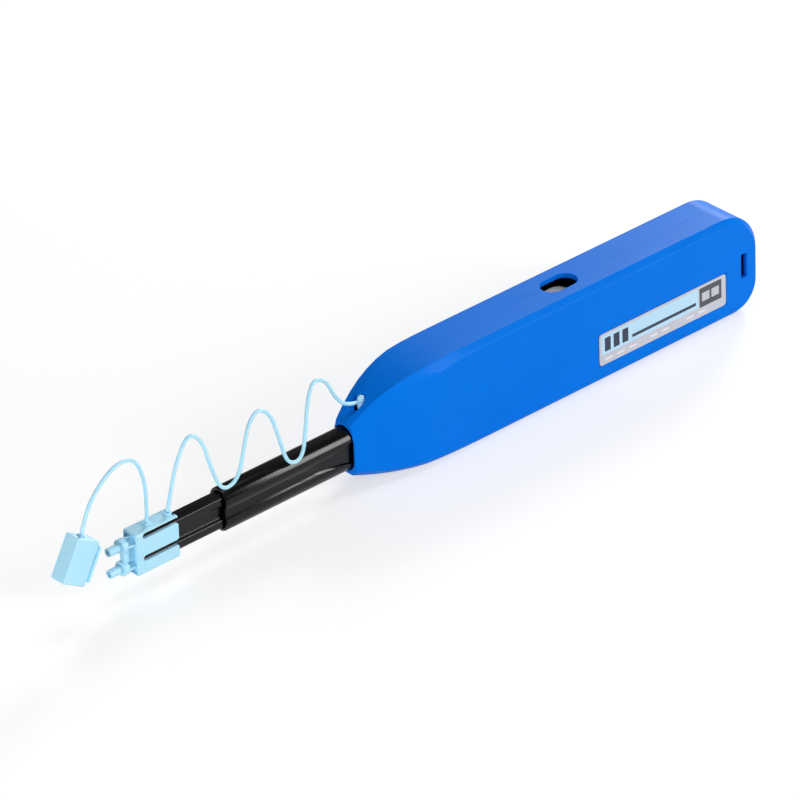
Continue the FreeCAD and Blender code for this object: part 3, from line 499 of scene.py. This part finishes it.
def make_sleeve():
    """Outer telescoping sleeve, its side grooves flaring out into the housing's mouth."""
    bm = swept([sleeve_ring(*station) for station in SLEEVE_STATIONS])
    finished("sleeve_moulding", bm, "black_abs", "nose", "sleeve", sharp=28)


FINGER_REACH = 11.0 * MM
THICKEST_WALL = 1.0 * MM
FINGER_CORNER = 0.7
SLOT_REACH = 12.0 * MM
SIDE_FACE = 2.6 * MM
SAME_PLACE = 0.01 * MM


def make_adapter():
    """Push-on adapter: its six spring fingers end in round corners."""
    bm = merged("adapter")
    rear = max(vert.co.x for vert in bm.verts)
    # Faces that point up or down keep their triangles
    flats = [edge for edge in bm.edges
             if all(vert.co.x > rear - FINGER_REACH for vert in edge.verts)
             and all(abs(face.normal.z) < 0.5 for face in edge.link_faces)]
    bmesh.ops.dissolve_limit(bm, angle_limit=math.radians(0.5), verts=[], edges=flats)
    corners = [edge for edge in creases(bm, 60)
               if all(vert.co.x > rear - SAME_PLACE for vert in edge.verts)
               and abs(edge.verts[0].co.z - edge.verts[1].co.z) < SAME_PLACE
               and edge.calc_length() < THICKEST_WALL]
    round_edges(bm, corners, FINGER_CORNER, 4)
    slot_rims = [edge for edge in creases(bm, 60, 0.2)
                 if all(rear - SLOT_REACH < vert.co.x < rear - 0.8 * MM
                        and abs(vert.co.y) > SIDE_FACE for vert in edge.verts)]
    round_edges(bm, slot_rims, 0.12, 2)
    weigh_normals(finished("adapter_moulding", bm, "light_blue", "nose", "adapter"))


def make_cap():
    """Dust cap: its bevelled edges read as round ones."""
    weigh_normals(finished("cap_moulding", merged("cap"), "light_blue", "nose", "cap", sharp=50))


KNOB_RADIUS = 1.05 * MM


def make_knob():
    """Round-ended post that holds the tether on the housing."""
    low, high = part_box("tether_anchor")
    bm = bmesh.new()
    bmesh.ops.create_uvsphere(bm, u_segments=28, v_segments=16, radius=KNOB_RADIUS)
    for vert in bm.verts:
        if vert.co.z < -1e-6:
            vert.co.z += low.z - high.z + 2 * KNOB_RADIUS
    bmesh.ops.translate(bm, verts=bm.verts, vec=((low.x + high.x) / 2, 0.0, high.z - KNOB_RADIUS))
    finished("tether_knob", bm, "light_blue", "housing", "tether_anchor")


COIL_SHORTER = 1.4 * MM
COIL_SHIFT = 0.6 * MM


def make_coil():
    """White cleaning tape wound on the supply spool, as it shows through the window."""
    low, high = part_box("supply_reel")
    centre = (low + high) / 2
    radius = (high.x - low.x) / 2
    bm = bmesh.new()
    bmesh.ops.create_cone(bm, cap_ends=True, segments=96, radius1=radius, radius2=radius,
                          depth=high.y - low.y - COIL_SHORTER,
                          matrix=Matrix.Rotation(math.pi / 2, 4, "X"))
    round_edges(bm, creases(bm, 60), 0.15, 2)
    bmesh.ops.translate(bm, verts=bm.verts, vec=(centre.x, centre.y - COIL_SHIFT, centre.z))
    finished("tape_coil", bm, "white_plastic", "supply", "supply_reel")


# The solid's coil has 9 turns of 0.7 mm wire; both are inside the housing, out of sight
SPRING_WIRE = 0.8 * MM
SPRING_TURNS = 14
SPRING_STEPS = 24 * SPRING_TURNS
WIRE_SIDES = 8


def make_spring():
    """Round-wire return spring, drawn at rest; the real one closes up as the nose is pushed in."""
    low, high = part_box("return_spring")
    centre = (low + high) / 2
    front, rear = low.x + SPRING_WIRE / 2, high.x - SPRING_WIRE / 2
    radius = (high.z - low.z) / 2 - SPRING_WIRE / 2
    bm = bmesh.new()
    bmesh.ops.create_circle(bm, segments=WIRE_SIDES, radius=SPRING_WIRE / 2, cap_ends=False,
                            matrix=Matrix.Translation((front, centre.y, centre.z + radius)))
    bmesh.ops.spin(bm, geom=bm.edges[:], cent=(0.0, centre.y, centre.z), axis=(1.0, 0.0, 0.0),
                   dvec=((rear - front) / SPRING_STEPS, 0.0, 0.0),
                   angle=2 * math.pi * SPRING_TURNS, steps=SPRING_STEPS, use_merge=False)
    open_ends = [edge for edge in bm.edges if edge.is_boundary]
    bmesh.ops.holes_fill(bm, edges=open_ends, sides=WIRE_SIDES)
    spring = finished("spring_wire", bm, "spring_steel", None, "return_spring")
    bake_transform(spring)


def make_label():
    """Film label with round corners."""
    low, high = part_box("label")
    bm = bmesh.new()
    bmesh.ops.create_cube(bm, size=1.0)
    bmesh.ops.scale(bm, verts=bm.verts, vec=high - low)
    bmesh.ops.translate(bm, verts=bm.verts, vec=(low + high) / 2)
    through = [edge for edge in bm.edges
               if abs(edge.verts[0].co.y - edge.verts[1].co.y) > 0.1 * MM]
    round_edges(bm, through, 1.0, 6)
    finished("label_film", bm, "label_film", "housing", "label")


make_shell("housing_right")
make_shell("housing_left")
make_coil()
make_spring()
soften("nozzle", "nose", "black_abs", 0.12)
make_cap()
make_sleeve()
make_adapter()
make_knob()
make_label()

# ------------------------------------------------------------------ stage and light

def make_floor():
    """Plain pale floor under the tool."""
    bm = bmesh.new()
    bmesh.ops.create_grid(bm, x_segments=1, y_segments=1, size=4.0)
    mesh = bpy.data.meshes.new("floor")
    bm.to_mesh(mesh)
    bm.free()
    floor = bpy.data.objects.new("floor", mesh)
    bpy.context.scene.collection.objects.link(floor)
    material, tree, shader, _ = new_material("studio_paper", Roughness=0.9)
    shader.inputs["Specular IOR Level"].default_value = 0.0
    shader.inputs["Base Color"].default_value = linear("#C4C4C4")
    shader.inputs["Emission Color"].default_value = (1.0, 1.0, 1.0, 1.0)
    tree.links.new(seen_directly(tree, 0.0, 0.56), shader.inputs["Emission Strength"])
    mesh.materials.append(material)


def seen_directly(tree, hidden, shown):
    """One strength for what the camera sees, also mirrored or through glass, another elsewhere."""
    path = add(tree, "LightPath")
    seen = path.outputs["Is Camera Ray"]
    for ray in ("Is Glossy Ray", "Is Transmission Ray"):
        seen = add(tree, "Math", {"operation": "MAXIMUM"},
                   links={0: seen, 1: path.outputs[ray]}).outputs[0]
    return add(tree, "MapRange", inputs={"To Min": hidden, "To Max": shown},
               links={"Value": seen}).outputs["Result"]


def softbox(name, place, width, height, watts):
    """A soft rectangular lamp that faces the tool."""
    light = bpy.data.lights.new(name, "AREA")
    light.shape = "RECTANGLE"
    light.size, light.size_y = width, height
    light.energy = watts
    lamp = bpy.data.objects.new(name, light)
    lamp.matrix_world = (Matrix.Translation(place)
                         @ (LIT - Vector(place)).to_track_quat("-Z", "Y").to_matrix().to_4x4())
    bpy.context.scene.collection.objects.link(lamp)


def make_world():
    """Dim soft light from all round; white where the camera looks past the floor."""
    world = bpy.data.worlds.new("studio")
    bpy.context.scene.world = world
    world.use_nodes = True
    tree = world.node_tree
    camera = add(tree, "LightPath").outputs["Is Camera Ray"]
    strength = add(tree, "MapRange", inputs={"To Min": 0.15, "To Max": 1.0},
                   links={"Value": camera})
    background = tree.nodes["Background"]
    background.inputs["Color"].default_value = (1.0, 1.0, 1.0, 1.0)
    tree.links.new(strength.outputs["Result"], background.inputs["Strength"])


# The point that every lamp faces, in metres
LIT = Vector((-0.04, 0.0, 0.015))
make_floor()
make_world()
softbox("key", (0.732, 0.465, 0.42), 0.3, 0.3, 6.2)
softbox("overhead", (0.02, -0.06, 0.92), 0.4, 0.4, 1.6)
softbox("fill", (-0.55, -0.22, 0.075), 0.3, 0.25, 1.9)
softbox("streaks", (0.47, -0.76, 0.30), 0.26, 0.55, 5.8)

bpy.context.scene.view_settings.view_transform = "Standard"
